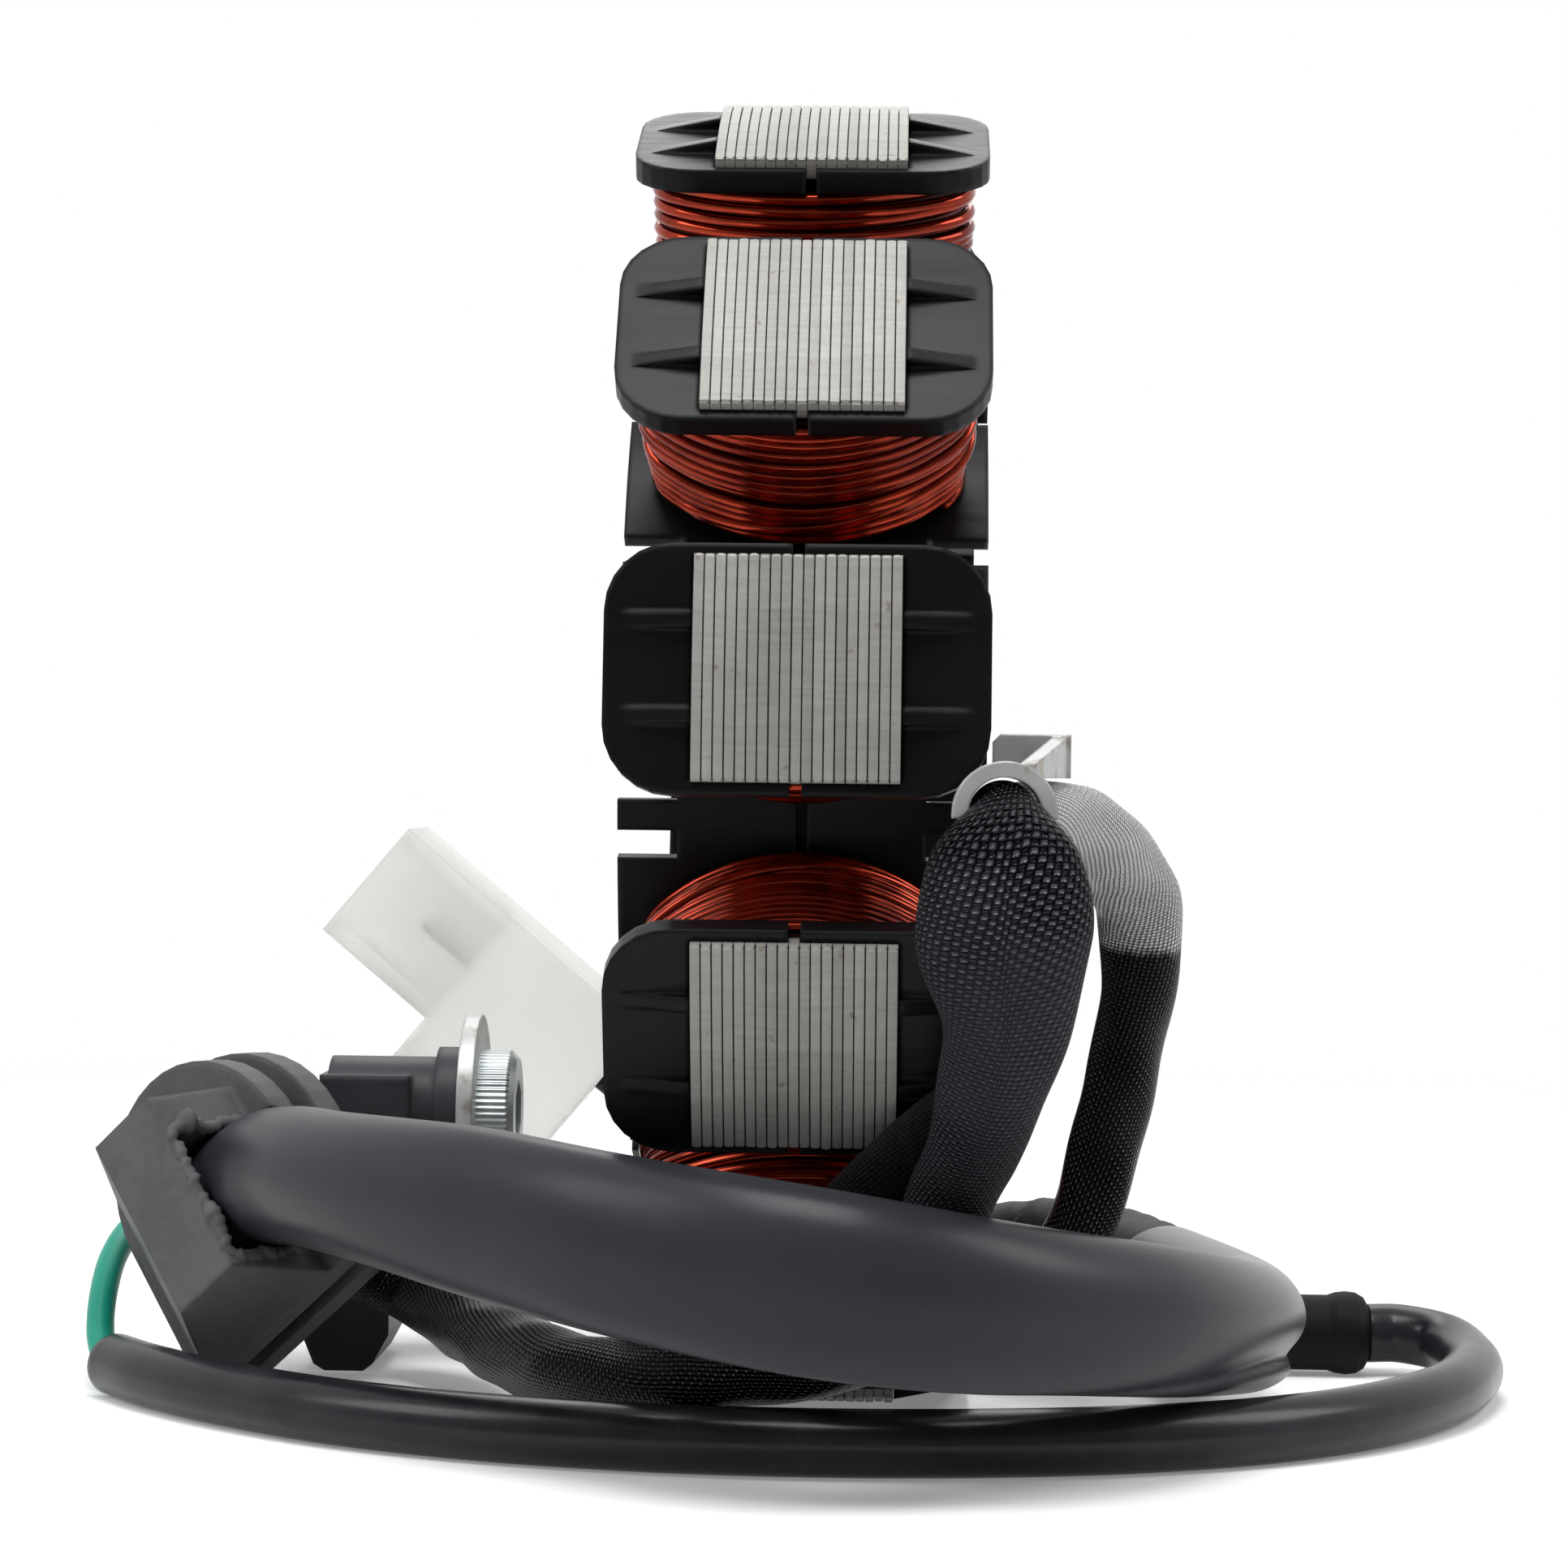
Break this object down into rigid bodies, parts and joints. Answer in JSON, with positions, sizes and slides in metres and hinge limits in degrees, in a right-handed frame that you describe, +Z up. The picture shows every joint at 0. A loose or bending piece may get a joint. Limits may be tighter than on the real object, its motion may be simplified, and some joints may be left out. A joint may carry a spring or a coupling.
{
  "type": "wound stator",
  "caption": "Wound stator ring with outward poles, a laminated core, moulded insulators, copper coils and a sleeved lead harness with a grommet, a pickup coil and a connector.",
  "frame": {"origin": "centre of the bore at the middle of the lamination stack", "axes": "X along the bore, -X out of the side the grommet lies on; Z up as it stands on one pole; +Y away from the viewer"},
  "size_m": [0.122, 0.1223, 0.1102],
  "materials": {
    "laminations": "ground pole faces, fine lines between the sheets",
    "rivet_steel": "plain",
    "insulator": "black satin moulding",
    "enamelled_copper": "glossy red-brown enamel",
    "woven_sleeve": "varnished black weave",
    "zinc_steel": "zinc plated",
    "grommet_rubber": "matte",
    "vinyl_sleeve": "soft gloss, creased",
    "tape": "wrinkled wrap",
    "wire_black": "satin",
    "nylon": "milky nylon",
    "tinned_brass": "tinned",
    "vinyl_tube": "soft gloss",
    "wire_green": "satin",
    "pickup_moulding": "black moulding"
  },
  "bodies": {
    "root": {"lamination_stack": "laminations", "stack_rivets": "rivet_steel", "insulator_left": "insulator", "insulator_right": "insulator", "coil_01": "enamelled_copper", "coil_02": "enamelled_copper", "coil_03": "enamelled_copper", "coil_04": "enamelled_copper", "coil_05": "enamelled_copper", "coil_06": "enamelled_copper", "coil_07": "enamelled_copper", "coil_08": "enamelled_copper", "coil_09": "enamelled_copper", "coil_10": "enamelled_copper", "coil_11": "enamelled_copper", "coil_12": "enamelled_copper", "winding_leads": "enamelled_copper", "cloth_sleeve": "woven_sleeve", "cable_clip": "zinc_steel", "grommet": "grommet_rubber", "main_sleeve": "vinyl_sleeve", "sleeve_tape": "tape", "connector_wires": "wire_black", "connector_housing": "nylon", "connector_terminals": "tinned_brass", "thin_tube": "vinyl_tube", "tube_boot": "grommet_rubber", "boot_terminal": "tinned_brass", "green_wire": "wire_green", "pickup_body": "pickup_moulding", "pickup_core": "rivet_steel", "pickup_screw": "zinc_steel", "pickup_washer": "zinc_steel", "pickup_lead": "wire_black"}
  },
  "joints": []
}
